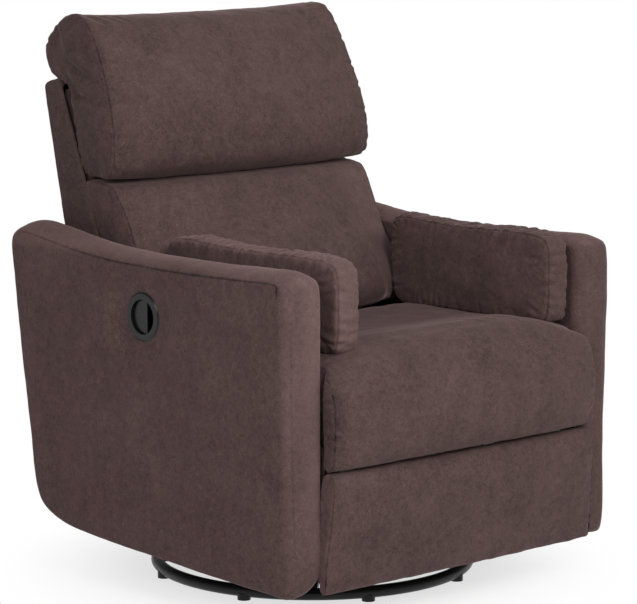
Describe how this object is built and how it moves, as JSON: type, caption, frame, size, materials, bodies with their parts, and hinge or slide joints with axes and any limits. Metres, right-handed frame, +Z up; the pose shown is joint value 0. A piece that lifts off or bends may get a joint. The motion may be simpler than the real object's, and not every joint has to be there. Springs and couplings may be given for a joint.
{
  "type": "swivel glider recliner",
  "caption": "Upholstered swivel glider recliner on a floor ring, with a folding footrest, a reclining back, a release cup in one arm and two loose arm pillows.",
  "frame": {"origin": "on the floor, on the swivel's vertical axis, at the centre of the floor ring", "axes": "+Z up, -Y the way the sitter faces, +X to the sitter's left; the release cup is in the arm at -X"},
  "size_m": [0.7908, 0.8491, 1.0223],
  "materials": {
    "upholstery": "brushed micro-suede, soft sheen at grazing angles",
    "upholstery_back": "the same fabric on the outer back and skirt",
    "black_steel": "black powder coat, satin",
    "zinc_steel": "zinc-plated, satin",
    "spring_steel": "oiled spring steel",
    "black_plastic": "moulded, satin",
    "plywood": "raw plywood and pine"
  },
  "bodies": {
    "base": {"floor_ring": "black_steel", "ring_glides": "black_plastic", "ring_spokes": "black_steel", "swivel_lower_plate": "black_steel", "bearing_balls": "zinc_steel", "swivel_nut": "zinc_steel"},
    "carriage": {"swivel_upper_plate": "black_steel", "carriage_bars": "black_steel", "glide_hanger_left": "black_steel", "glide_hanger_right": "black_steel", "hanger_rivets": "zinc_steel"},
    "rear_links": {"glide_links_rear": "zinc_steel"},
    "front_links": {"glide_links_front": "zinc_steel"},
    "chair": {"base_rail_left": "black_steel", "base_rail_right": "black_steel", "base_rail_rivets": "zinc_steel", "cross_bar_front": "black_steel", "cross_bar_rear": "black_steel", "rear_skirt": "upholstery_back", "arm_cover_left": "upholstery", "arm_cover_right": "upholstery", "arm_frame_left": "plywood", "arm_frame_right": "plywood", "release_cup": "black_plastic", "paddle_pin": "zinc_steel", "seat_rail_left": "plywood", "seat_rail_right": "plywood", "side_plate_left": "zinc_steel", "side_plate_right": "zinc_steel", "seat_front_rail": "plywood", "seat_rear_rail": "plywood", "seat_springs": "spring_steel", "seat_cushion": "upholstery", "linkage_rivets": "zinc_steel", "back_pivot_bolts": "zinc_steel"},
    "paddle": {"release_paddle": "black_plastic"},
    "drive": {"drive_links": "zinc_steel", "drive_tube": "black_steel", "knee_rivets": "zinc_steel"},
    "follower": {"follower_links": "zinc_steel"},
    "carrier": {"carrier_links": "zinc_steel", "carrier_rivets": "zinc_steel"},
    "toggle": {"toggle_links": "zinc_steel", "toggle_rivets": "zinc_steel"},
    "footrest": {"footrest_board": "plywood", "footrest_brackets": "zinc_steel", "footrest_pad": "upholstery"},
    "back": {"back_stile_left": "plywood", "back_stile_right": "plywood", "back_rail_top": "plywood", "back_rail_middle": "plywood", "back_rail_bottom": "plywood", "back_springs": "spring_steel", "back_bracket_left": "zinc_steel", "back_bracket_right": "zinc_steel", "back_shell": "upholstery_back", "lumbar_cushion": "upholstery", "headrest_cushion": "upholstery"},
    "left_pillow": {"arm_pillow_left": "upholstery"},
    "right_pillow": {"arm_pillow_right": "upholstery"}
  },
  "joints": [
    {"name": "swivel", "type": "hinge", "parent": "base", "child": "carriage", "pos_m": [0, 0, 0.03], "axis": [0, 0, 1], "continuous": true},
    {"name": "glide", "type": "hinge", "parent": "carriage", "child": "rear_links", "pos_m": [0, 0.095, 0.225], "axis": [-1, 0, 0], "range_deg": [-20, 20]},
    {"name": "glide_front", "type": "hinge", "parent": "carriage", "child": "front_links", "pos_m": [0, -0.095, 0.225], "axis": [-1, 0, 0], "range_deg": [-20, 20]},
    {"name": "chair_level", "type": "hinge", "parent": "rear_links", "child": "chair", "pos_m": [0, 0.095, 0.105], "axis": [-1, 0, 0], "range_deg": [-20, 20]},
    {"name": "footrest", "type": "hinge", "parent": "chair", "child": "drive", "pos_m": [0, -0.225, 0.322], "axis": [-1, 0, 0], "range_deg": [0, 92]},
    {"name": "footrest_follower", "type": "hinge", "parent": "chair", "child": "follower", "pos_m": [0, -0.183, 0.2986], "axis": [-1, 0, 0], "range_deg": [0, 92]},
    {"name": "footrest_knee", "type": "hinge", "parent": "drive", "child": "carrier", "pos_m": [0, -0.14, 0.128], "axis": [-1, 0, 0], "range_deg": [-92, 0]},
    {"name": "footrest_toggle", "type": "hinge", "parent": "drive", "child": "toggle", "pos_m": [0, -0.15204, 0.15548], "axis": [-1, 0, 0], "range_deg": [-92, 0]},
    {"name": "footrest_tilt", "type": "hinge", "parent": "carrier", "child": "footrest", "pos_m": [0, -0.35, 0.245], "axis": [-1, 0, 0], "range_deg": [0, 92]},
    {"name": "recline", "type": "hinge", "parent": "chair", "child": "back", "pos_m": [0, 0.165, 0.32], "axis": [-1, 0, 0], "range_deg": [0, 38]},
    {"name": "release", "type": "hinge", "parent": "chair", "child": "paddle", "pos_m": [-0.3874, 0.031, 0.508], "axis": [0, 0, -1], "range_deg": [0, 24], "stiffness_Nm_per_rad": 0.3, "springref_deg": -11.46},
    {"name": "left_pillow_lift", "type": "slide", "parent": "chair", "child": "left_pillow", "axis": [0, 0, 1], "range_m": [0, 0.35]},
    {"name": "right_pillow_lift", "type": "slide", "parent": "chair", "child": "right_pillow", "axis": [0, 0, 1], "range_m": [0, 0.35]}
  ],
  "couplings": [
    {"joint": "glide_front", "follows": "glide", "ratio": 1},
    {"joint": "chair_level", "follows": "glide", "ratio": -1},
    {"joint": "footrest_follower", "follows": "footrest", "ratio": 1},
    {"joint": "footrest_knee", "follows": "footrest", "ratio": -1},
    {"joint": "footrest_toggle", "follows": "footrest", "ratio": -1},
    {"joint": "footrest_tilt", "follows": "footrest", "ratio": 1}
  ]
}
